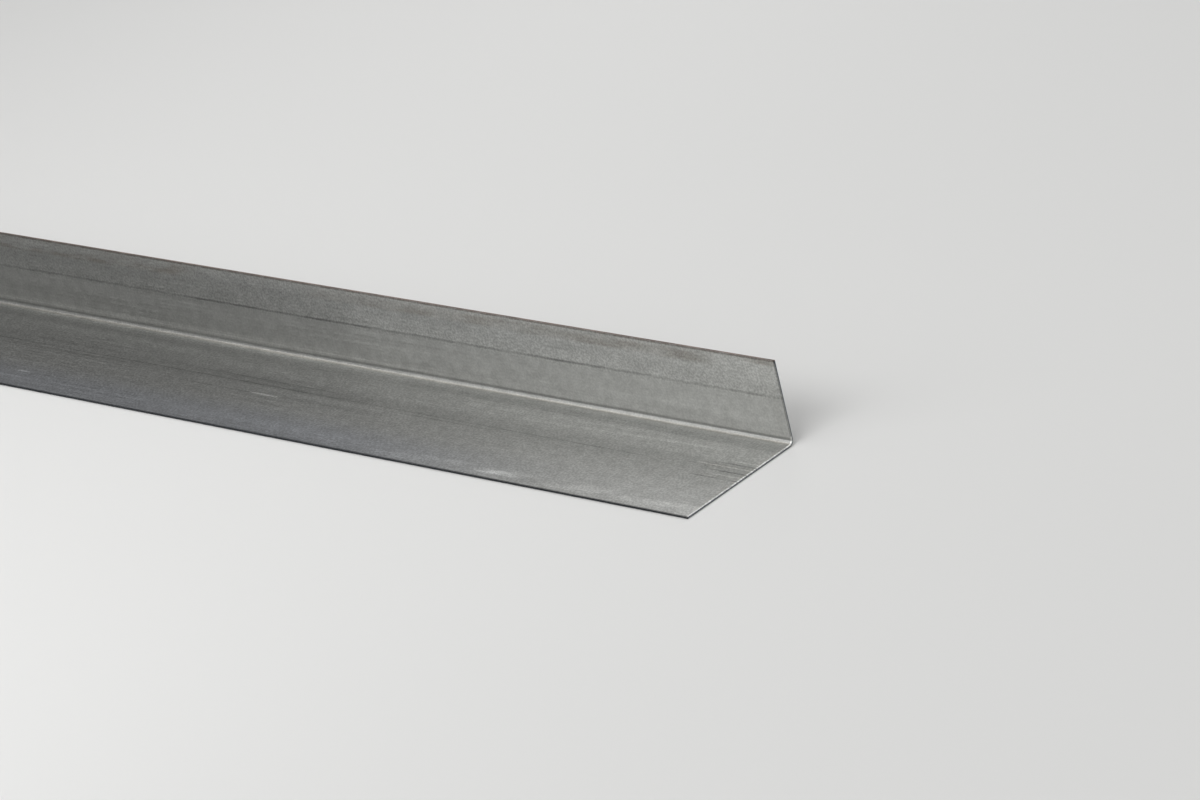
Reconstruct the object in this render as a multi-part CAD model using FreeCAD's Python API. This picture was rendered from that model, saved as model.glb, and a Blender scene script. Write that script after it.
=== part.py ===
"""Angle profile: one strip of thin galvanised sheet steel, bent once along its length to an unequal L.

It lies as loose stock lies on a level floor. The wide flange is flat on the ground and the narrow
flange stands up along its +Y side. +X runs along the length and +Z is up. The origin is on the
floor, in the middle of the profile's own footprint. All sizes are in millimetres.
"""

import FreeCAD
import Part

import math
import os

# Driving dimensions
LENGTH = 1000.0  # one stock length, cut square at both ends
WIDE_FLANGE = 70.0  # outside width of the flange that lies flat, heel to free edge
NARROW_FLANGE = 40.0  # outside height of the flange that stands up, heel to free edge
SHEET = 1.0  # thickness of the steel sheet with its zinc
INNER_BEND_RADIUS = 2.0  # radius on the inside of the bend
EDGE_ROUNDING = 0.15  # roll-over that the slitting knives leave along both free edges

# The sheet keeps its thickness round the bend, so both faces turn about one centre line.
OUTER_BEND_RADIUS = INNER_BEND_RADIUS + SHEET

HEEL_Y = WIDE_FLANGE / 2  # the heel is the outside corner of the L


def section_point(across, up):
    """A point of the section: across the wide flange from the heel, and up from the floor."""
    return FreeCAD.Vector(-LENGTH / 2, HEEL_Y - across, up)


def corner_arc(before, corner, after, radius):
    """The arc of that radius that is tangent to both sides of a corner."""
    to_before = (before - corner).normalize()
    to_after = (after - corner).normalize()
    half_angle = to_before.getAngle(to_after) / 2
    bisector = (to_before + to_after).normalize()
    setback = radius / math.tan(half_angle)
    middle = corner + bisector * (radius / math.sin(half_angle) - radius)
    return Part.Arc(corner + to_before * setback, middle, corner + to_after * setback)


def rounded_outline(corners):
    """A closed wire of straight sides joined by tangent arcs, from a list of (point, radius)."""
    points = [point for point, _ in corners]
    arcs = [
        corner_arc(points[i - 1], points[i], points[(i + 1) % len(points)], radius)
        for i, (_, radius) in enumerate(corners)
    ]
    edges = []
    for arc, next_arc in zip(arcs, arcs[1:] + arcs[:1]):
        edges.append(arc.toShape())
        edges.append(Part.LineSegment(arc.EndPoint, next_arc.StartPoint).toShape())
    return Part.Wire(edges)


def angle_section():
    """The L, from the heel along the underside to the free edge and back along the inside."""
    rounding = min(EDGE_ROUNDING, SHEET / 3)
    outline = rounded_outline(
        [
            (section_point(0, 0), OUTER_BEND_RADIUS),
            (section_point(WIDE_FLANGE, 0), rounding),
            (section_point(WIDE_FLANGE, SHEET), rounding),
            (section_point(SHEET, SHEET), INNER_BEND_RADIUS),
            (section_point(SHEET, NARROW_FLANGE), rounding),
            (section_point(0, NARROW_FLANGE), rounding),
        ]
    )
    return Part.Face(outline)


def angle_profile():
    """The whole profile: its section, drawn at the -X end, extruded along the length."""
    return angle_section().extrude(FreeCAD.Vector(LENGTH, 0, 0))


PIECES = {"angle_profile": angle_profile}

os.makedirs("parts", exist_ok=True)
for node, make in PIECES.items():
    solid = make()
    solid.exportStep(f"parts/{node}.step")
    print(f"{node}: {solid.Volume / 1000:.2f} cm3, valid {solid.isValid()}")
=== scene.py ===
# %% [markdown]
# # A galvanised angle profile
# The object is one strip of thin zinc-coated steel, slit from a coil, cut square and bent once along its
# length. This lesson bends the strip with Geometry Nodes, gives it its thickness and its sheared edges with
# two modifiers, and then builds the finish that such sheet has: a dull zinc skin with fine grain, marks that
# run along the strip, a few handling scratches and bare steel at every cut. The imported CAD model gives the
# frame: everything is in metres and stands where the CAD says.

import math

import bpy
import numpy as np
from mathutils import Matrix, Vector


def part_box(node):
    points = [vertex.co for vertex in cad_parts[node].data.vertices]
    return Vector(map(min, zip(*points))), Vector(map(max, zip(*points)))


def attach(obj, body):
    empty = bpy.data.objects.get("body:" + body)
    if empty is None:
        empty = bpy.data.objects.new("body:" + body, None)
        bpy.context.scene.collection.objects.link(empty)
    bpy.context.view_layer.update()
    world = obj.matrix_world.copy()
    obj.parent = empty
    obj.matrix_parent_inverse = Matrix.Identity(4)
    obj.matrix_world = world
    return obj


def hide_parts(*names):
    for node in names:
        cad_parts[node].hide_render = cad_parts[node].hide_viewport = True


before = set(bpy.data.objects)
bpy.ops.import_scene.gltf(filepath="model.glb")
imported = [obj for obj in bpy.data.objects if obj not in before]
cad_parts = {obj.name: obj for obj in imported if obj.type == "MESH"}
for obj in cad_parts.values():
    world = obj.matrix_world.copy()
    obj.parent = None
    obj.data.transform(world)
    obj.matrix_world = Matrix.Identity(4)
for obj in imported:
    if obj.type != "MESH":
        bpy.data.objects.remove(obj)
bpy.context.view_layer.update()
scene = bpy.context.scene
scene.view_settings.view_transform = "Standard"

low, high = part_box("angle_profile")
LENGTH = high.x - low.x
WIDE_FLANGE = high.y - low.y
NARROW_FLANGE = high.z - low.z
HEEL_Y = high.y
CUT_END_X = high.x
print(f"the angle is {LENGTH:.3f} m long, {WIDE_FLANGE * 1000:.1f} x {NARROW_FLANGE * 1000:.1f} mm")

# %% [markdown]
# ## The camera
# The camera comes first, because every later choice is judged through it. It is a long lens that looks down
# on the open side of the angle from in front of one cut end, and it is rolled, so that the stock runs
# slantwise across the frame. Its place is given from one corner of the object that is easy to find: the heel
# corner of the near cut end. That keeps the view right if the stock ever gets another length.

# %% Camera
LENS_MM = 159.8
TURN = math.radians(47.76)  # from straight in front of the open side, towards the cut end
RISE = math.radians(23.66)
ROLL = math.radians(-13.78)
CORNER_AHEAD = 2.2514  # how far in front of the lens the near heel corner is
CORNER_RIGHT = 0.0822
CORNER_DOWN = 0.0187

turned = Matrix.Rotation(TURN, 4, "Z") @ Matrix.Rotation(math.pi / 2 - RISE, 4, "X")
turned = turned @ Matrix.Rotation(ROLL, 4, "Z")
corner_seen = Vector((CORNER_RIGHT, -CORNER_DOWN, -CORNER_AHEAD))
heel_corner = Vector((CUT_END_X, HEEL_Y, 0))
camera = bpy.data.objects.new("camera", bpy.data.cameras.new("camera"))
scene.collection.objects.link(camera)
camera.matrix_world = Matrix.Translation(heel_corner - turned.to_3x3() @ corner_seen) @ turned
camera.data.lens = LENS_MM
camera.data.clip_end = 200
scene.camera = camera
print("the camera is at", [round(value, 3) for value in camera.location])

# %% [markdown]
# ## Helpers for node trees
# Shader trees and geometry trees are both built in code here. One helper adds a node, gives it its settings
# and fills its inputs, either with a value or with another node's output. The others are short ways to write
# arithmetic, a place, a smooth ramp and a named group, which keeps the trees readable.

# %% Node helpers
COLUMN_STEP = 190
ROW_STEP = 220
COLUMNS = 9


def add(tree, kind, inputs=None, **settings):
    """A new node. Inputs are numbers, colours or other nodes' sockets, by name or by number."""
    made = tree.nodes.new(kind)
    count = len(tree.nodes)
    made.location = (count % COLUMNS * COLUMN_STEP, -(count // COLUMNS) * ROW_STEP)
    for name, value in settings.items():
        setattr(made, name, value)
    for key, value in (inputs or {}).items():
        if isinstance(value, bpy.types.NodeSocket):
            tree.links.new(value, made.inputs[key])
        else:
            made.inputs[key].default_value = value
    return made


def calc(tree, operation, first, second=0.0, third=0.0, clamp=False):
    """One arithmetic step."""
    inputs = {0: first, 1: second, 2: third}
    return add(tree, "ShaderNodeMath", inputs, operation=operation, use_clamp=clamp).outputs[0]


def vector(tree, x=0.0, y=0.0, z=0.0):
    """Three numbers or sockets as one place."""
    return add(tree, "ShaderNodeCombineXYZ", {0: x, 1: y, 2: z}).outputs[0]


def ramp(tree, value, start, end, low_value=0.0, high_value=1.0):
    """Rises smoothly from one value to another while the input goes from start to end."""
    inputs = {"Value": value, "From Min": start, "From Max": end, "To Min": low_value, "To Max": high_value}
    made = add(tree, "ShaderNodeMapRange", inputs, interpolation_type="SMOOTHSTEP")
    return made.outputs["Result"]


def new_group(name, kind, sockets, results):
    """An empty node group with named inputs and outputs, and the sockets inside it."""
    tree = bpy.data.node_groups.new(name, kind)
    for label, socket_kind, default in sockets:
        made = tree.interface.new_socket(label, in_out="INPUT", socket_type=socket_kind)
        if default is not None:
            made.default_value = default
    for label, socket_kind in results:
        tree.interface.new_socket(label, in_out="OUTPUT", socket_type=socket_kind)
    return tree, add(tree, "NodeGroupInput").outputs


def finish_group(tree, **results):
    """Wires the group's results to its output sockets, where a name's underscores are spaces."""
    end = add(tree, "NodeGroupOutput")
    for label, value in results.items():
        tree.links.new(value, end.inputs[label.replace("_", " ")])
    print(f"node group {tree.name!r} has {len(tree.nodes)} nodes")


FLOAT = "NodeSocketFloat"
INTEGER = "NodeSocketInt"
GEOMETRY = "NodeSocketGeometry"
MATERIAL = "NodeSocketMaterial"
VECTOR = "NodeSocketVector"

# %% [markdown]
# ## The bent sheet
# The profile is a flat strip, bent once, and the sheet keeps its thickness all the way round the bend. One
# could start from a box and bevel its corner, but then the thickness would change there. Geometry Nodes draw
# the middle line of the sheet instead, from the real sizes: three corner points, a fillet at the bend, cuts
# in the flat runs, and a sweep along the length. The bend is one round arc, two millimetres inside, which is
# a usual bend for sheet this thin. A little noise lifts the two slit edges, because thin sheet is never quite
# flat there. Each point also remembers how far across the flat strip it was, for the later finish.

# %% Sizes of the sheet
SHEET = 0.001
INNER_RADIUS = 0.002
BEND_STEPS = 24  # points in the arc of the bend
STEP_ACROSS = 0.0025
STEP_ALONG = 0.004
EDGE_WAVE = 0.00012  # how far the slit edges wander from flat
WAVE_LENGTH = 0.11
WAVE_SEED = 3.7

# %% The tree that draws the sheet's middle surface
sheet_sizes = [
    ("Length", FLOAT, LENGTH),
    ("Wide Flange", FLOAT, WIDE_FLANGE),
    ("Narrow Flange", FLOAT, NARROW_FLANGE),
    ("Sheet", FLOAT, SHEET),
    ("Heel", FLOAT, HEEL_Y),
    ("Inner Radius", FLOAT, INNER_RADIUS),
    ("Bend Steps", INTEGER, BEND_STEPS),
    ("Step Across", FLOAT, STEP_ACROSS),
    ("Step Along", FLOAT, STEP_ALONG),
    ("Edge Wave", FLOAT, EDGE_WAVE),
    ("Wave Length", FLOAT, WAVE_LENGTH),
    ("Seed", FLOAT, WAVE_SEED),
    ("Finish", MATERIAL, None),
]
bending, ask = new_group("bent sheet", "GeometryNodeTree", sheet_sizes, [("Sheet", GEOMETRY)])


def choose_by_index(tree, choices):
    """Gives the first point the first place, the second point the second, and so on."""
    switch = add(tree, "GeometryNodeIndexSwitch", data_type="VECTOR")
    while len(switch.index_switch_items) < len(choices):
        switch.index_switch_items.new()
    tree.links.new(add(tree, "GeometryNodeInputIndex").outputs[0], switch.inputs["Index"])
    for number, choice in enumerate(choices):
        tree.links.new(choice, switch.inputs[str(number)])
    return switch.outputs[0]


def section_line(tree, ask):
    """The middle line of the section, from the free edge round the bend to the top edge."""
    half = calc(tree, "MULTIPLY", ask["Sheet"], 0.5)
    heel = calc(tree, "SUBTRACT", ask["Heel"], half)
    free_edge = calc(tree, "SUBTRACT", ask["Heel"], ask["Wide Flange"])
    corners = [
        vector(tree, free_edge, half),
        vector(tree, heel, half),
        vector(tree, heel, ask["Narrow Flange"]),
    ]
    points = {"Count": len(corners), "Position": choose_by_index(tree, corners)}
    line = add(tree, "GeometryNodePoints", points)
    line = add(tree, "GeometryNodePointsToCurves", {"Points": line.outputs[0]})
    radius = calc(tree, "ADD", ask["Inner Radius"], half)
    bend = {"Curve": line.outputs[0], "Count": ask["Bend Steps"], "Radius": radius}
    return add(tree, "GeometryNodeFilletCurve", bend, mode="POLY").outputs[0]


def cut_flat_runs(tree, line, step):
    """Extra points wherever two neighbours are more than one step apart."""
    here = add(tree, "GeometryNodeInputPosition").outputs[0]
    following = add(tree, "GeometryNodeOffsetPointInCurve", {"Offset": 1}).outputs["Point Index"]
    lookup = {"Value": here, "Index": following}
    there = add(tree, "GeometryNodeFieldAtIndex", lookup, data_type="FLOAT_VECTOR", domain="POINT")
    gap = add(tree, "ShaderNodeVectorMath", {0: here, 1: there.outputs[0]}, operation="DISTANCE")
    cuts = calc(tree, "FLOOR", calc(tree, "DIVIDE", gap.outputs["Value"], step))
    return add(tree, "GeometryNodeSubdivideCurve", {"Curve": line, "Cuts": cuts}).outputs[0]


def remember(tree, geometry, name, value, kind="FLOAT_VECTOR"):
    """Keeps a value on every point under a name."""
    kept = {"Geometry": geometry, "Name": name, "Value": value}
    made = add(tree, "GeometryNodeStoreNamedAttribute", kept, data_type=kind, domain="POINT")
    return made.outputs[0]


def sweep(tree, ask, line):
    """Pulls the section along +X. The curve's normal is +Y, so the section keeps its Y and its Z."""
    half = calc(tree, "MULTIPLY", ask["Length"], 0.5)
    ends = {"Start": vector(tree, calc(tree, "MULTIPLY", half, -1.0)), "End": vector(tree, half)}
    path = add(tree, "GeometryNodeCurvePrimitiveLine", ends).outputs[0]
    rows = calc(tree, "ADD", calc(tree, "CEIL", calc(tree, "DIVIDE", ask["Length"], ask["Step Along"])), 1.0)
    path = add(tree, "GeometryNodeResampleCurve", {"Curve": path, "Count": rows}, mode="COUNT").outputs[0]
    upright = add(tree, "GeometryNodeSetCurveNormal", {"Curve": path, "Normal": (0, 1, 0)}, mode="FREE")
    swept = {"Curve": upright.outputs[0], "Profile Curve": line}
    return add(tree, "GeometryNodeCurveToMesh", swept).outputs[0]


def wave_edges(tree, ask, mesh):
    """Moves each flange inwards by a little noise that grows from the bend to the slit edge."""
    here = add(tree, "GeometryNodeInputPosition").outputs[0]
    place = add(tree, "ShaderNodeSeparateXYZ", {0: here}).outputs
    beside = calc(tree, "DIVIDE", calc(tree, "SUBTRACT", ask["Heel"], place["Y"]), ask["Wide Flange"])
    above = calc(tree, "DIVIDE", place["Z"], ask["Narrow Flange"])
    run = vector(tree, calc(tree, "DIVIDE", place["X"], ask["Wave Length"]))
    inputs = {"Vector": run, "W": ask["Seed"], "Scale": 1.0, "Detail": 1.0}
    wander = add(tree, "ShaderNodeTexNoise", inputs, noise_dimensions="4D").outputs["Fac"]
    size = calc(tree, "MULTIPLY", wander, ask["Edge Wave"])
    lift = calc(tree, "MULTIPLY", size, calc(tree, "POWER", beside, 2.0))
    pull = calc(tree, "MULTIPLY", size, calc(tree, "POWER", above, 2.0))
    offset = vector(tree, 0.0, calc(tree, "MULTIPLY", pull, -1.0), lift)
    return add(tree, "GeometryNodeSetPosition", {"Geometry": mesh, "Offset": offset}).outputs[0]


line = cut_flat_runs(bending, section_line(bending, ask), ask["Step Across"])
travelled = add(bending, "GeometryNodeSplineParameter").outputs["Length"]
line = remember(bending, line, "across", travelled, "FLOAT")
middle = wave_edges(bending, ask, sweep(bending, ask, line))
middle = remember(bending, middle, "middle", add(bending, "GeometryNodeInputPosition").outputs[0])
middle = remember(bending, middle, "outward", add(bending, "GeometryNodeInputNormal").outputs["Normal"])
smooth = add(bending, "GeometryNodeSetShadeSmooth", {"Geometry": middle}).outputs[0]
whole = add(bending, "GeometryNodeRealizeInstances", {"Geometry": smooth}).outputs[0]
coated = add(bending, "GeometryNodeSetMaterial", {"Geometry": whole, "Material": ask["Finish"]}).outputs[0]
finish_group(bending, Sheet=coated)

# %% [markdown]
# ## Thickness
# The middle surface becomes sheet metal with Solidify, which puts half of the thickness on each side and
# closes the rims with a narrow wall. The result is kept as a plain mesh. Every point now knows the middle
# point that it came from, and that gives its height in the thickness: nought on the outer skin, one sheet on
# the inner skin. Together with the way along and across, it is the point's place on the flat strip before it
# was bent. A pattern that reads this place runs round the bend without a seam or a stretch.


# %% Make the sheet
def set_input(modifier, label, value):
    """Sets a Geometry Nodes input by the identifier that belongs to its label."""
    for item in modifier.node_group.interface.items_tree:
        if item.item_type == "SOCKET" and item.in_out == "INPUT" and item.name == label:
            modifier[item.identifier] = value


def keep_result(worker, name):
    """A plain mesh object from what the worker's modifiers make. The worker is removed."""
    shape = worker.evaluated_get(bpy.context.evaluated_depsgraph_get())
    mesh = bpy.data.meshes.new_from_object(shape)
    mesh.name = name
    bpy.data.objects.remove(worker)
    piece = bpy.data.objects.new(name, mesh)
    scene.collection.objects.link(piece)
    print(f"{name}: {len(mesh.vertices)} points, {len(mesh.polygons)} faces")
    return piece


def make_sheet(finish):
    """The strip as bent sheet of its full thickness, with corners that are still sharp."""
    blank = bpy.data.objects.new("strip", bpy.data.meshes.new("strip"))
    scene.collection.objects.link(blank)
    nodes = blank.modifiers.new("bend", "NODES")
    nodes.node_group = bending
    for label, _kind, value in sheet_sizes:
        if value is not None:
            set_input(nodes, label, value)
    set_input(nodes, "Finish", finish)
    thickness = blank.modifiers.new("thickness", "SOLIDIFY")
    thickness.thickness = SHEET
    thickness.offset = 0
    thickness.use_even_offset = True
    return keep_result(blank, "thick_strip")


zinc = bpy.data.materials.new("zinc_skin")
zinc.use_nodes = True
bare = bpy.data.materials.new("sheared_steel")
bare.use_nodes = True
thick_strip = make_sheet(zinc)


# %% Find each point's place on the flat strip
def read_points(mesh, name, width):
    """An attribute's values as rows of numbers."""
    source = mesh.vertices if name == "co" else mesh.attributes[name].data
    field = {"co": "co", "across": "value"}.get(name, "vector")
    values = np.empty(len(mesh.vertices) * width, dtype=np.float32)
    source.foreach_get(field, values)
    return values.reshape(-1, width)


def strip_places(mesh):
    """Along, across and height in the thickness, for every point."""
    points = read_points(mesh, "co", 3)
    outward = read_points(mesh, "outward", 3)
    beyond = np.sum((points - read_points(mesh, "middle", 3)) * outward, axis=1)
    inner_sign = np.sign(outward[np.argmin(points[:, 1]), 2])
    height = SHEET / 2 + beyond * inner_sign
    return np.column_stack((points[:, 0], read_points(mesh, "across", 1)[:, 0], height))


places = strip_places(thick_strip.data)
STRIP_WIDTH = float(places[:, 1].max())
heights = places[:, 2]
print(f"the flat strip was {STRIP_WIDTH * 1000:.2f} mm wide, heights {heights.min()} to {heights.max()}")

# %% [markdown]
# ## Sheared rims
# A shear never leaves a sharp corner. Where the blade enters, it drags the skin down and rolls the rim over
# by nearly half a millimetre, and that rim catches a thin line of light along the cut end. The slitting
# knives that cut the coil to width leave less. One Bevel makes both, because it reads a weight on each edge:
# the full width on the inner rims of the two cut ends, and a third of it on every other rim.

# %% Roll the rims
CUT_END_ROLL = 0.00045
OTHER_ROLL = 0.00015
ROLL_STEPS = 4
CUT_PLACE_TOLERANCE = 1e-6


def weigh_rims(mesh, places):
    """A bevel weight for each rim, which is an edge with a wall on one side and a skin on the other."""
    wall_edges = {}
    for face in mesh.polygons:
        heights = [places[corner][2] for corner in face.vertices]
        wall = max(heights) - min(heights) > SHEET / 2
        for key in face.edge_keys:
            wall_edges.setdefault(key, []).append(wall)
    weights = np.zeros(len(mesh.edges), dtype=np.float32)
    for edge in mesh.edges:
        sides = wall_edges[edge.key]
        if any(sides) and not all(sides):
            ends = [places[corner] for corner in edge.vertices]
            cut_end = all(abs(end[0]) > LENGTH / 2 - CUT_PLACE_TOLERANCE for end in ends)
            inner = ends[0][2] > SHEET / 2
            weights[edge.index] = 1 if cut_end and inner else OTHER_ROLL / CUT_END_ROLL
    made = mesh.attributes.new("bevel_weight_edge", "FLOAT", "EDGE")
    made.data.foreach_set("value", weights)
    print(f"{np.count_nonzero(weights)} rim edges, {np.count_nonzero(weights == 1)} of them rolled in full")


weigh_rims(thick_strip.data, places)
rims = thick_strip.modifiers.new("rims", "BEVEL")
rims.width = CUT_END_ROLL
rims.segments = ROLL_STEPS
rims.limit_method = "WEIGHT"
rims.harden_normals = True
sheet = keep_result(thick_strip, "angle_profile_sheet")

# %% Keep the place on the flat strip for the finish
places = strip_places(sheet.data)
kept = sheet.data.attributes.new("strip_place", "FLOAT_VECTOR", "POINT")
kept.data.foreach_set("vector", places.astype(np.float32).ravel())
for helper in ("across", "middle", "outward", "bevel_weight_edge"):
    if helper in sheet.data.attributes:
        sheet.data.attributes.remove(sheet.data.attributes[helper])

# %% Give the cut faces their own finish
SKIN_TOLERANCE = 0.3 * SHEET  # the rolled rims are dragged skin, the wall between them is the cut


def split_finishes(piece, place):
    """Slot 0 is the zinc skin. Slot 1 is every face that lies between the two skins, which is a cut."""
    mesh = piece.data
    mesh.materials.clear()
    mesh.materials.append(zinc)
    mesh.materials.append(bare)
    cuts = 0
    for face in mesh.polygons:
        heights = [place[corner][2] for corner in face.vertices]
        cut = max(heights) - min(heights) > SKIN_TOLERANCE
        face.material_index = 1 if cut else 0
        cuts += cut
    print(f"{cuts} of {len(mesh.polygons)} faces are cut faces")


split_finishes(sheet, places)

# %% [markdown]
# ## The zinc skin
# Zinc-coated sheet is grey, dull and a little uneven. Its skin has a fine grain from the coating, and long
# streaks from the rolls that pressed it. Painted image maps could show this, but they would have one fixed
# sharpness and would need seams at the bend. Procedural noise has neither limit. All of it reads the place
# on the flat strip, so the grain is as fine in the bend as on the flanges. The grain and the streaks are
# shader node groups, because the cut faces and the skin both use them. Each has a seed that shifts the noise
# sideways, so another seed gives another pattern.

# %% Grain and streaks
NOISE_LOW, NOISE_HIGH = 0.3, 0.7  # this stretch of the noise is spread from nought to one


def noise(tree, place, detail, roughness=0.5):
    """Noise whose grains are about one unit of the place across."""
    inputs = {"Vector": place, "Scale": 1.0, "Detail": detail, "Roughness": roughness}
    return add(tree, "ShaderNodeTexNoise", inputs).outputs["Fac"]


metal_grain, ask = new_group(
    "metal grain",
    "ShaderNodeTree",
    [("Place", VECTOR, None), ("Size", FLOAT, 0.001), ("Seed", FLOAT, 0.0)],
    [("Grain", FLOAT)],
)
scaled = add(metal_grain, "ShaderNodeVectorMath", {0: ask["Place"]}, operation="SCALE")
metal_grain.links.new(calc(metal_grain, "DIVIDE", 1.0, ask["Size"]), scaled.inputs["Scale"])
moved = add(metal_grain, "ShaderNodeVectorMath", {0: scaled.outputs[0]}, operation="ADD")
metal_grain.links.new(vector(metal_grain, 0.0, 0.0, ask["Seed"]), moved.inputs[1])
cloud = noise(metal_grain, moved.outputs[0], detail=2.0, roughness=0.6)
finish_group(metal_grain, Grain=ramp(metal_grain, cloud, NOISE_LOW, NOISE_HIGH))

roll_streaks, ask = new_group(
    "lengthwise streaks",
    "ShaderNodeTree",
    [("Place", VECTOR, None), ("Length", FLOAT, 0.1), ("Width", FLOAT, 0.001), ("Seed", FLOAT, 0.0)],
    [("Streak", FLOAT)],
)
place = add(roll_streaks, "ShaderNodeSeparateXYZ", {0: ask["Place"]}).outputs
run = calc(roll_streaks, "DIVIDE", place["X"], ask["Length"])
side = calc(roll_streaks, "DIVIDE", place["Y"], ask["Width"])
stripes = noise(roll_streaks, vector(roll_streaks, run, side, ask["Seed"]), detail=1.0)
finish_group(roll_streaks, Streak=ramp(roll_streaks, stripes, NOISE_LOW, NOISE_HIGH))

# %% [markdown]
# ## Marks
# Handling leaves marks on such a strip, and nearly all of them run along it: thin lines where it slid over a
# roller or a neighbour, and broad dull or polished bands where it rubbed in its bundle. Many of the bands are
# painted light and shade instead: a painted highlight on the bend with painted shade in its crease and beside
# it, a painted reflection on the wide flange and along its free edge, and painted light towards the near end
# of the narrow flange. Two groups draw them: one a thin line that wanders and breaks up, the other a soft
# band filled with long clouds. Noise is slow to work out, so a third group makes the wandering, the breaks
# and the clouds once, and every mark shares them. Each mark is then one row in a list: where it lies across
# the strip, how wide it is, between which distances from the near cut end, and how much darker or brighter it
# makes the metal.

# %% What makes marks uneven
WANDER_LENGTH, WANDER = 0.05, 0.0005
BREAK_LENGTH, BREAK_WIDTH = 0.014, 0.002
CLOUD_LENGTH, CLOUD_WIDTH = 0.022, 0.0045
FAINTEST = 0.55  # what is left of a line where it breaks up

unevenness, ask = new_group(
    "unevenness",
    "ShaderNodeTree",
    [("Place", VECTOR, None), ("Seed", FLOAT, 0.0)],
    [("Sway", FLOAT), ("Breaks", FLOAT), ("Clouds", FLOAT)],
)
place = add(unevenness, "ShaderNodeSeparateXYZ", {0: ask["Place"]}).outputs


def flat_noise(length, width, detail):
    """Noise for the group above, with patches of about this length along the strip and width across it."""
    run = calc(unevenness, "DIVIDE", place["X"], length)
    side = calc(unevenness, "DIVIDE", place["Y"], width)
    return noise(unevenness, vector(unevenness, run, side, ask["Seed"]), detail)


sway = calc(unevenness, "SUBTRACT", flat_noise(WANDER_LENGTH, 1.0, 1.0), 0.5)
finish_group(
    unevenness,
    Sway=calc(unevenness, "MULTIPLY", sway, WANDER),
    Breaks=ramp(unevenness, flat_noise(BREAK_LENGTH, BREAK_WIDTH, 1.0), 0.35, 0.6, FAINTEST, 1.0),
    Clouds=ramp(unevenness, flat_noise(CLOUD_LENGTH, CLOUD_WIDTH, 4.0), 0.38, 0.64),
)

# %% A thin line and a soft band
LINE_END_FADE, BAND_END_FADE = 0.004, 0.010
LINE_CORE, BAND_CORE = 0.3, 0.4  # the share of a mark's half width that has its full strength


def between(tree, value, start, end, fade):
    """One between start and end, and nought outside, with soft limits."""
    rise = ramp(tree, value, calc(tree, "SUBTRACT", start, fade), calc(tree, "ADD", start, fade))
    fall = ramp(tree, value, calc(tree, "SUBTRACT", end, fade), calc(tree, "ADD", end, fade), 1.0, 0.0)
    return calc(tree, "MULTIPLY", rise, fall)


def distance_beside(tree, ask, place):
    """How far a point is from the middle of a mark that may slant."""
    slant = calc(tree, "MULTIPLY", calc(tree, "SUBTRACT", place["X"], ask["End"]), ask["Slope"])
    middle = calc(tree, "ADD", calc(tree, "ADD", ask["Across"], slant), ask["Sway"])
    return calc(tree, "ABSOLUTE", calc(tree, "SUBTRACT", place["Y"], middle))


def mark_body(tree, ask, place, core_share):
    """Full strength along the middle of a mark, fading to nothing at half its width."""
    half = calc(tree, "MULTIPLY", ask["Width"], 0.5)
    core = calc(tree, "MULTIPLY", half, core_share)
    return ramp(tree, distance_beside(tree, ask, place), core, half, 1.0, 0.0)


MARK_SOCKETS = [
    ("Place", VECTOR, None),
    ("Across", FLOAT, 0.0),
    ("Width", FLOAT, 0.001),
    ("Sway", FLOAT, 0.0),
    ("Start", FLOAT, -1.0),
    ("End", FLOAT, 1.0),
    ("Slope", FLOAT, 0.0),
]
LINE_SOCKETS = MARK_SOCKETS + [("Breaks", FLOAT, 1.0)]
line_mark, ask = new_group("line mark", "ShaderNodeTree", LINE_SOCKETS, [("Mark", FLOAT)])
place = add(line_mark, "ShaderNodeSeparateXYZ", {0: ask["Place"]}).outputs
body = mark_body(line_mark, ask, place, LINE_CORE)
ends = between(line_mark, place["X"], ask["Start"], ask["End"], LINE_END_FADE)
broken = calc(line_mark, "MULTIPLY", body, ask["Breaks"])
finish_group(line_mark, Mark=calc(line_mark, "MULTIPLY", broken, ends))

BAND_SOCKETS = MARK_SOCKETS + [("Patches", FLOAT, 0.5), ("Clouds", FLOAT, 1.0)]
band_mark, ask = new_group("band mark", "ShaderNodeTree", BAND_SOCKETS, [("Mark", FLOAT)])
place = add(band_mark, "ShaderNodeSeparateXYZ", {0: ask["Place"]}).outputs
body = mark_body(band_mark, ask, place, BAND_CORE)
missing = calc(band_mark, "MULTIPLY", ask["Patches"], calc(band_mark, "SUBTRACT", 1.0, ask["Clouds"]))
filled = calc(band_mark, "SUBTRACT", 1.0, missing)
ends = between(band_mark, place["X"], ask["Start"], ask["End"], BAND_END_FADE)
patchy = calc(band_mark, "MULTIPLY", body, filled)
finish_group(band_mark, Mark=calc(band_mark, "MULTIPLY", patchy, ends))

# %% Where the marks are
MM = 0.001
NEAR = -20  # a little past the near cut end, so that a mark doesn't fade before it
FAR = LENGTH / MM + 100  # the same past the far one


def on_wide(from_heel):
    """The place across the flat strip of a line on the wide flange, measured from the heel, in mm."""
    return WIDE_FLANGE - from_heel * MM


def on_narrow(height):
    """The same for a line at a height on the narrow flange, in mm."""
    return STRIP_WIDTH - NARROW_FLANGE + height * MM


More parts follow.
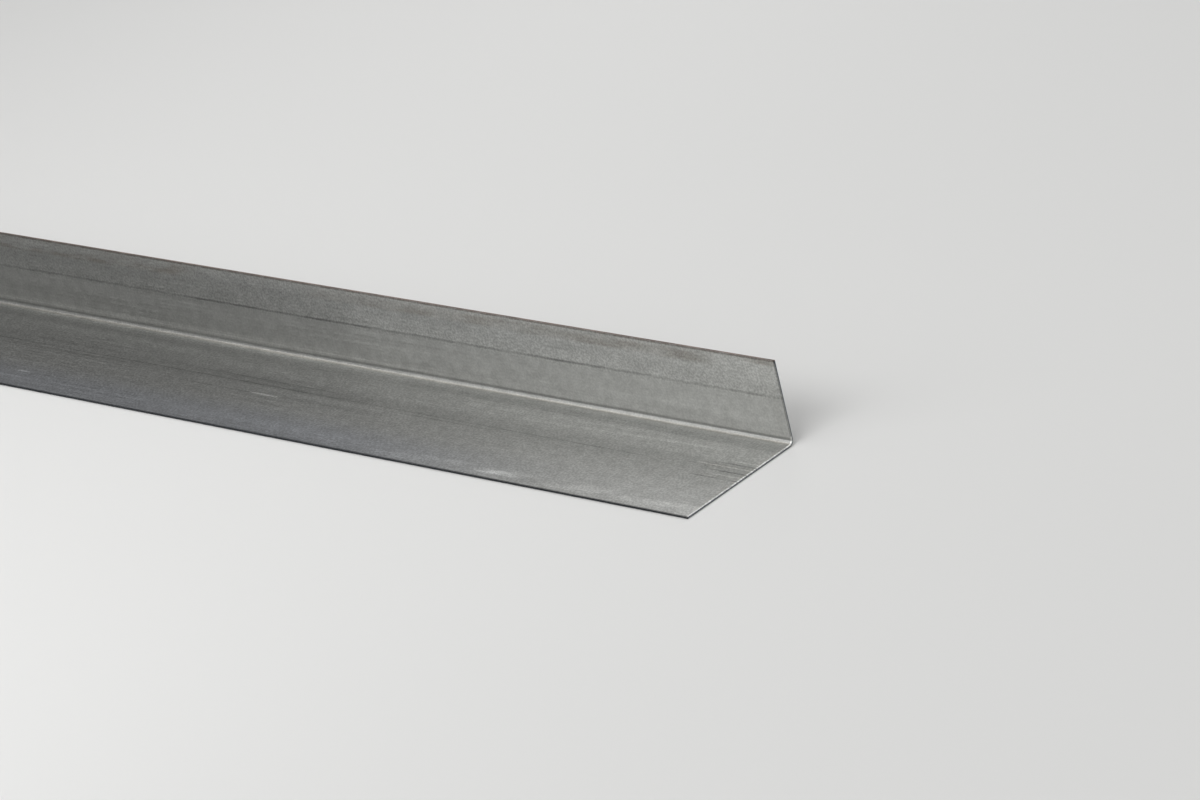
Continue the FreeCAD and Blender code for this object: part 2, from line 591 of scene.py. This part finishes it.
# place across, width, from and to (mm from the near cut end), slant (mm per metre), change in tone
THIN_LINES = [
    (on_narrow(22.2), 1.8, NEAR, FAR, 0, -0.30),  # the long line up the middle of the narrow flange
    (on_narrow(22.3), 1.5, 105, 155, 0, -0.26),
    (on_narrow(22.1), 1.4, 250, 375, 0, -0.20),
    (on_narrow(4.8), 1.0, 250, FAR, 0, 0.14),
    (on_wide(26.3), 1.0, 260, 345, 0, -0.30),
    (on_wide(30.7), 1.2, 60, 490, 0, -0.28),
    (on_wide(33.0), 1.0, 388, 475, 0, -0.26),
    (on_wide(33.0), 1.0, 150, 200, 0, -0.22),
    (on_wide(38.7), 1.0, 290, 340, 0, -0.24),
    (on_wide(38.5), 1.7, 281, 298, 0, 1.3),  # a short bright scratch
    (on_wide(56.5), 1.5, 434, 443, 0, 0.7),
    (on_wide(62.0), 1.8, 425, 500, 0, 0.22),
    (on_wide(15.8), 2.0, 35, 230, 34, 0.08),  # a slanting light streak
    (on_wide(22.5), 1.1, NEAR, 15, 0, 0.50),  # scuffs beside the cut end
    (on_wide(25.0), 1.2, NEAR, 20, 0, -0.45),
    (on_wide(27.8), 1.2, NEAR, 30, 0, 0.50),
    (on_wide(31.5), 1.2, NEAR, 22, 0, -0.45),
    (on_wide(34.6), 1.1, NEAR, 18, 0, 0.45),
    (on_wide(37.6), 1.1, NEAR, 26, 0, -0.40),
]
# the same, and how patchy it is: nought is even, and one leaves only clouds
BANDS_AND_PAINTED_LIGHT = [
    (on_narrow(2.6), 2.0, NEAR, FAR, 0, -0.34, 0.10),  # painted shade: a dark line in the crease inside the bend
    (on_wide(1.6), 1.8, NEAR, FAR, 0, 0.15, 0.10),  # painted highlight on the bend, in this row and the next three, wider away from the cut
    (on_wide(3.0), 2.8, NEAR, FAR, 0, 0.14, 0.10),
    (on_wide(3.7), 4.0, 200, FAR, 0, 0.14, 0.30),
    (on_wide(3.7), 4.0, 290, FAR, 0, 0.18, 0.30),
    # painted shade on the wide flange beside the bend's highlight, in this row and the next two
    (on_wide(6.0), 3.0, NEAR, 170, 0, -0.16, 0.30),
    (on_wide(8.6), 6.0, NEAR, FAR, 0, -0.12, 0.30),
    (on_wide(8.4), 5.0, NEAR, 230, 0, -0.14, 0.40),
    # a painted reflection of the narrow flange in the wide flange: a lighter band, then a dark one
    (on_wide(17), 11, NEAR, FAR, 0, 0.04, 0.5),
    (on_wide(29), 13, NEAR, FAR, 0, -0.12, 0.35),
    (on_wide(11.8), 3.0, 70, 190, 34, 0.12, 0.6),
    (on_wide(14.6), 2.6, 20, 86, 34, 0.14, 0.5),
    # painted reflection along the free edge of the wide flange, in this row and the next two
    (on_wide(65), 11, NEAR, 190, 0, 0.24, 0.85),
    (on_wide(64), 8, 190, FAR, 0, 0.08, 0.8),
    (on_wide(64.5), 4.6, 111, 131, 0, 0.50, 0.5),
    (on_narrow(31), 18, NEAR, FAR, 0, -0.09, 0.8),  # darker above the long line
    (on_narrow(5.2), 4, NEAR, FAR, 0, 0.14, 0.2),
    (on_narrow(9.2), 6, NEAR, 200, 0, 0.08, 0.4),
    (on_narrow(18), 40, NEAR, 260, 0, 0.13, 0.15),  # painted light: brighter towards the near end
    # painted light high on the narrow flange at the near end
    (on_narrow(33), 15, NEAR, 38, 0, 0.12, 0.3),
]
# the same, but with the strength of the dirt in place of the change in tone
DULL_PATCHES = [
    (on_narrow(35.6), 9, 370, 520, 0, 1.0, 0.9),
    (on_narrow(35.8), 7, 40, 285, 0, 0.8, 0.6),
    (on_narrow(38.3), 3, 0, 14, 0, 0.9, 0.4),
    (on_wide(31), 14, 0, 26, 0, 0.35, 1.0),
]
print(f"{len(THIN_LINES)} lines, {len(BANDS_AND_PAINTED_LIGHT)} bands and {len(DULL_PATCHES)} dull patches")

# %% [markdown]
# ## Two materials
# The skin and the cut faces are separate materials on the one sheet. The skin is all metal. Its colour is a
# grey, with a painted bluish reflection along the outer part of the wide flange and a painted warm highlight
# on the bend, and brown where dirt has made it dull. One value, the tone, darkens or brightens that colour:
# the marks, the painted light and shade among them, the grain and the streaks all change the tone by a share.
# The lists of marks hold for the inside of the angle. The cut faces are bare steel, torn by the slitting
# knives and the shear, and their dark, bluish colour is painted shade with a painted reflection in it; along
# the top edge, which has no zinc, it has begun to rust.

# %% Helpers for the two materials
CHANGE = 5  # the value of a mark's row that says how strong it is
FIRST_COLOUR, SECOND_COLOUR, MIXED_COLOUR = 6, 7, 2  # the Mix node's sockets for colours


def group(tree, kind, **inputs):
    """One use of a shader group, all of its outputs."""
    return add(tree, "ShaderNodeGroup", inputs, node_tree=kind).outputs


def place_mark(tree, kind, place, row, uneven):
    """The mask of one row of a list of marks. A band has one value more than a line."""
    across, width, near, far, slant = row[:CHANGE]
    inputs = {
        "Place": place,
        "Across": across,
        "Width": width * MM,
        "Sway": uneven["Sway"],
        "Slope": slant * MM,
        "Start": CUT_END_X - far * MM,
        "End": CUT_END_X - near * MM,
    }
    if kind == band_mark:
        inputs |= {"Patches": row[CHANGE + 1], "Clouds": uneven["Clouds"]}
    else:
        inputs["Breaks"] = uneven["Breaks"]
    return group(tree, kind, **inputs)["Mark"]


def change_tone(tree, tone, mask, change):
    """Makes the tone darker or brighter by a share, where the mask is."""
    return calc(tree, "MULTIPLY", tone, calc(tree, "MULTIPLY_ADD", mask, change, 1.0))


def mix_colours(tree, mask, first, second):
    """From the first colour to the second by the mask. Each is three numbers or a node's socket."""
    inputs = {"Factor": mask}
    for number, value in ((FIRST_COLOUR, first), (SECOND_COLOUR, second)):
        inputs[number] = value if isinstance(value, bpy.types.NodeSocket) else (*value, 1.0)
    return add(tree, "ShaderNodeMix", inputs, data_type="RGBA").outputs[MIXED_COLOUR]


EDGE_FULL, EDGE_GONE = 0.0003, 0.0006  # from a slit edge, where its own finish ends


def at_free_edge(tree, parts):
    """One on the slit edge of the wide flange, and nought a little way in."""
    return ramp(tree, parts["Y"], EDGE_FULL, EDGE_GONE, 1.0, 0.0)


# %% Marks and grain on the skin
GRAIN_SIZE, MOTTLE_SIZE = 0.0011, 0.006
STREAK_LENGTH, STREAK_WIDTH = 0.16, 0.0011
BROAD_LENGTH, BROAD_WIDTH = 0.30, 0.0060
GRAIN_CHANGE, MOTTLE_CHANGE, STREAK_CHANGE = 0.40, 0.13, 0.05
SMOOTHER = -0.55  # the grain is fainter from the bend to the middle of the narrow flange

tree = zinc.node_tree
place = add(tree, "ShaderNodeAttribute", attribute_name="strip_place").outputs["Vector"]
parts = add(tree, "ShaderNodeSeparateXYZ", {0: place}).outputs
inner = ramp(tree, parts["Z"], 0.4 * SHEET, 0.6 * SHEET)  # one on the inside of the angle

uneven = group(tree, unevenness, Place=place, Seed=11.3)
marks_and_painted_light = 1.0
for kind, rows in ((line_mark, THIN_LINES), (band_mark, BANDS_AND_PAINTED_LIGHT)):
    for row in rows:
        mask = place_mark(tree, kind, place, row, uneven)
        marks_and_painted_light = change_tone(tree, marks_and_painted_light, mask, row[CHANGE])
marks_and_painted_light = calc(tree, "MULTIPLY_ADD", calc(tree, "SUBTRACT", marks_and_painted_light, 1.0), inner, 1.0)

grain = group(tree, metal_grain, Place=place, Size=GRAIN_SIZE, Seed=1.0)["Grain"]
mottle = group(tree, metal_grain, Place=place, Size=MOTTLE_SIZE, Seed=2.0)["Grain"]
streaks = group(tree, roll_streaks, Place=place, Length=STREAK_LENGTH, Width=STREAK_WIDTH, Seed=3.0)["Streak"]
broad = group(tree, roll_streaks, Place=place, Length=BROAD_LENGTH, Width=BROAD_WIDTH, Seed=4.0)["Streak"]
smooth_run = calc(tree, "MULTIPLY", between(tree, parts["Y"], on_wide(4.5), on_narrow(21), 0.002), inner)
grain_left = calc(tree, "MULTIPLY_ADD", smooth_run, SMOOTHER, 1.0)
grain_here = calc(tree, "MULTIPLY", calc(tree, "SUBTRACT", grain, 0.5), grain_left)
tone = change_tone(tree, marks_and_painted_light, grain_here, GRAIN_CHANGE)
for pattern, change in ((mottle, MOTTLE_CHANGE), (streaks, STREAK_CHANGE), (broad, STREAK_CHANGE)):
    tone = change_tone(tree, tone, calc(tree, "SUBTRACT", pattern, 0.5), change)

# %% Colour of the skin
ZINC_GREY = (0.510, 0.513, 0.498)
# a painted bluish reflection along the outer part of the wide flange, away from the cut
ZINC_BLUE_REFLECTION = (0.502, 0.516, 0.540)
# the warm colour of a painted highlight on the bend
ZINC_HIGHLIGHT_WARM = (0.560, 0.545, 0.508)
DIRT_BROWN = (0.300, 0.272, 0.238)
RUST = (0.270, 0.205, 0.170)
RUST_DARK = (0.130, 0.095, 0.075)
DIRT_COVER = 0.65
RUST_FULL, RUST_GONE = 0.0005, 0.0012  # how far rust creeps down from the top edge

dirt = 0.0
for row in DULL_PATCHES:
    patch = calc(tree, "MULTIPLY", place_mark(tree, band_mark, place, row, uneven), row[CHANGE])
    dirt = calc(tree, "MAXIMUM", dirt, patch)
dirt = calc(tree, "MULTIPLY", dirt, inner)
# where the painted bluish reflection lies
outer_part = ramp(tree, parts["Y"], on_wide(44), on_wide(62))
far_from_cut = ramp(tree, parts["X"], CUT_END_X - 0.240, CUT_END_X - 0.060, 1.0, 0.0)
painted_blue_reflection = calc(tree, "MULTIPLY", outer_part, far_from_cut)
# where the painted warm highlight lies on the bend
painted_warm_highlight = between(tree, parts["Y"], on_wide(3.2), on_wide(1.5), 0.0008)
rust_creep = ramp(tree, parts["Y"], STRIP_WIDTH - RUST_GONE, STRIP_WIDTH - RUST_FULL)
rust_creep = calc(tree, "MULTIPLY", rust_creep, ramp(tree, mottle, 0.1, 0.6, 0.45, 0.65))
colour = mix_colours(tree, painted_blue_reflection, ZINC_GREY, ZINC_BLUE_REFLECTION)
colour = mix_colours(tree, painted_warm_highlight, colour, ZINC_HIGHLIGHT_WARM)
colour = mix_colours(tree, calc(tree, "MULTIPLY", dirt, DIRT_COVER), colour, DIRT_BROWN)
colour = mix_colours(tree, rust_creep, colour, RUST_DARK)

# %% Tone at the rims and up the narrow flange, with painted highlight and shade
# painted shade along the slit edge of the wide flange, where it lies on the floor
FREE_RIM_SHADE = -0.7
CUT_RIM_HIGHLIGHT = 0.65  # painted highlight on the rolled rim of the cut, on the wide flange and the bend
NARROW_RIM_SHADE = -0.50  # painted shade on the same rim up the narrow flange
RIM_START, RIM_FULL = 0.0007, 0.0004  # from the plane of the cut
DULLED_AND_SHADED_CHANGE = -0.28  # darker up the narrow flange, away from the near cut end: partly dull dirt, partly painted shade

# painted shade on the skin at the free edge
tone = change_tone(tree, tone, at_free_edge(tree, parts), FREE_RIM_SHADE)
rim = ramp(tree, calc(tree, "ABSOLUTE", parts["X"]), CUT_END_X - RIM_START, CUT_END_X - RIM_FULL)
rim = calc(tree, "MULTIPLY", rim, inner)
up_narrow = ramp(tree, parts["Y"], on_narrow(2.5), on_narrow(5.0))
below_narrow = calc(tree, "SUBTRACT", 1.0, up_narrow)
tone = change_tone(tree, tone, calc(tree, "MULTIPLY", rim, below_narrow), CUT_RIM_HIGHLIGHT)
tone = change_tone(tree, tone, calc(tree, "MULTIPLY", rim, up_narrow), NARROW_RIM_SHADE)
# partly dirt, partly painted shade: darker up the narrow flange away from the near end
dulled_and_shaded = ramp(tree, parts["Y"], on_narrow(14), on_narrow(35))
away = ramp(tree, parts["X"], CUT_END_X - 0.45, CUT_END_X - 0.14, 1.0, 0.0)
dulled_and_shaded = calc(tree, "MULTIPLY", dulled_and_shaded, away)
tone = change_tone(tree, tone, calc(tree, "MULTIPLY", dulled_and_shaded, inner), DULLED_AND_SHADED_CHANGE)
toned = add(tree, "ShaderNodeVectorMath", {0: colour, "Scale": tone}, operation="SCALE").outputs[0]

# %% Roughness and relief of the skin
SMOOTHEST = 0.31
SKIN_BUMP, SKIN_RELIEF = 0.35, 0.00003

rough = SMOOTHEST
for pattern, share in ((grain, 0.05), (streaks, 0.06), (dirt, 0.16), (rust_creep, 0.20)):
    rough = calc(tree, "MULTIPLY_ADD", pattern, share, rough)
relief = calc(tree, "MULTIPLY_ADD", streaks, 0.5, grain)
bump = {"Strength": SKIN_BUMP, "Distance": SKIN_RELIEF, "Height": relief}
shader = tree.nodes["Principled BSDF"]
tree.links.new(toned, shader.inputs["Base Color"])
tree.links.new(rough, shader.inputs["Roughness"])
tree.links.new(add(tree, "ShaderNodeBump", bump).outputs["Normal"], shader.inputs["Normal"])
shader.inputs["Metallic"].default_value = 1.0
print(f"the zinc skin has {len(tree.nodes)} nodes")

# %% Bare steel at the cuts
# the cut faces' dark bluish colour is painted shade with a painted bluish reflection; burnished parts are
# lighter
STEEL_IN_SHADE = (0.080, 0.100, 0.130)
STEEL_WORN = (0.160, 0.180, 0.205)
# painted shade on the slit face along the free edge
SLIT_STEEL_IN_SHADE = (0.030, 0.034, 0.040)
TORN_SIZE = 0.0007
SCORE_LENGTH, SCORE_WIDTH = 0.012, 0.0004
CUT_BUMP, CUT_RELIEF = 0.5, 0.00006

tree = bare.node_tree
place = add(tree, "ShaderNodeAttribute", attribute_name="strip_place").outputs["Vector"]
parts = add(tree, "ShaderNodeSeparateXYZ", {0: place}).outputs
torn = group(tree, metal_grain, Place=place, Size=TORN_SIZE, Seed=5.0)["Grain"]
scored = group(tree, roll_streaks, Place=place, Length=SCORE_LENGTH, Width=SCORE_WIDTH, Seed=6.0)["Streak"]
burnished = ramp(tree, parts["Z"], 0.45 * SHEET, 0.75 * SHEET)
worn = calc(tree, "MULTIPLY", torn, calc(tree, "ADD", burnished, 0.3), clamp=True)
steel = mix_colours(tree, worn, STEEL_IN_SHADE, STEEL_WORN)
# painted shade on the slit face along the free edge
steel = mix_colours(tree, at_free_edge(tree, parts), steel, SLIT_STEEL_IN_SHADE)
rust = mix_colours(tree, scored, RUST_DARK, RUST)
top_edge = ramp(tree, parts["Y"], STRIP_WIDTH - EDGE_GONE, STRIP_WIDTH - EDGE_FULL)
rusted = calc(tree, "MULTIPLY", top_edge, ramp(tree, torn, 0.0, 0.6, 0.75, 1.0))
bump = {"Strength": CUT_BUMP, "Distance": CUT_RELIEF, "Height": torn}
shader = tree.nodes["Principled BSDF"]
tree.links.new(mix_colours(tree, rusted, steel, rust), shader.inputs["Base Color"])
tree.links.new(calc(tree, "MULTIPLY_ADD", rusted, -0.75, 0.9), shader.inputs["Metallic"])
tree.links.new(calc(tree, "MULTIPLY_ADD", torn, 0.2, 0.45), shader.inputs["Roughness"])
tree.links.new(add(tree, "ShaderNodeBump", bump).outputs["Normal"], shader.inputs["Normal"])
print(f"the bare steel has {len(tree.nodes)} nodes")

# %% Ties to the frame
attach(sheet, "root")
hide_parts("angle_profile")

# %% [markdown]
# ## Floor and light
# A plain pale floor takes the shadow. Metal shows what stands around it, so the light is planned by what
# each surface mirrors. Two large sheets of light carry the floor. Inside the angle a ray bounces off both
# flanges and leaves over the open side, towards the far end. A box there makes both flanges brighter towards
# the near end, and a second, weaker one carries that on to the cut. The bend mirrors what hangs above the
# far half, and the rolled rim at the cut mirrors what stands behind the near end. Each of them gets a box,
# and a last one behind the angle lights what looks that way.

# %% Floor
FLOOR_SIZE = 60
FLOOR_DROP = 0.0002
FLOOR_GREY = (0.78, 0.78, 0.77, 1)
FLOOR_ROUGHNESS = 0.9
bpy.ops.mesh.primitive_plane_add(size=FLOOR_SIZE, location=(0, 0, -FLOOR_DROP))
floor = bpy.context.object
floor.name = "floor"
paint = bpy.data.materials.new("floor_paint")
paint.use_nodes = True
shader = paint.node_tree.nodes["Principled BSDF"]
shader.inputs["Base Color"].default_value = FLOOR_GREY
shader.inputs["Roughness"].default_value = FLOOR_ROUGHNESS
floor.data.materials.append(paint)


# %% Lamps
def softbox(name, place, aim, width, height, strength):
    """A flat lamp that faces its aim. Its strength is its brightness, whatever its size."""
    lamp = bpy.data.lights.new(name, "AREA")
    lamp.shape = "RECTANGLE"
    lamp.size = width
    lamp.size_y = height
    lamp.energy = strength * width * height * math.pi
    made = bpy.data.objects.new(name, lamp)
    scene.collection.objects.link(made)
    made.location = place
    made.rotation_euler = (Vector(aim) - Vector(place)).to_track_quat("-Z", "Y").to_euler()


softbox("overhead_sheet", (0.30, 0.20, 3.20), (0.30, 0.20, 0.0), 4.50, 4.50, 0.70)
softbox("front_sheet", (0.90, -2.40, 2.40), (0.10, 0.0, 0.0), 2.40, 1.40, 5.0)
softbox("open_side_box", (-0.05, -0.50, 0.35), (-0.05, 0.0, 0.0), 0.30, 0.35, 1.45)
softbox("near_end_box", (0.22, -0.50, 0.35), (0.22, 0.0, 0.0), 0.30, 0.35, 1.15)
softbox("ridge_box", (-0.18, -0.12, 0.60), (-0.18, -0.01, 0.0), 0.60, 0.14, 1.30)
softbox("back_box", (-0.05, 0.60, 0.45), (0.0, 0.0, 0.0), 0.40, 0.40, 0.95)
softbox("rim_box", (0.94, 0.68, 0.85), (0.50, 0.0, 0.0), 0.45, 0.45, 1.4)

ROOM_GREY = (0.20, 0.20, 0.20, 1)
world = bpy.data.worlds.new("studio")
scene.world = world
world.use_nodes = True
room = world.node_tree.nodes["Background"]
room.inputs["Color"].default_value = ROOM_GREY
room.inputs["Strength"].default_value = 1.0
print(len(bpy.data.lights), "lamps")
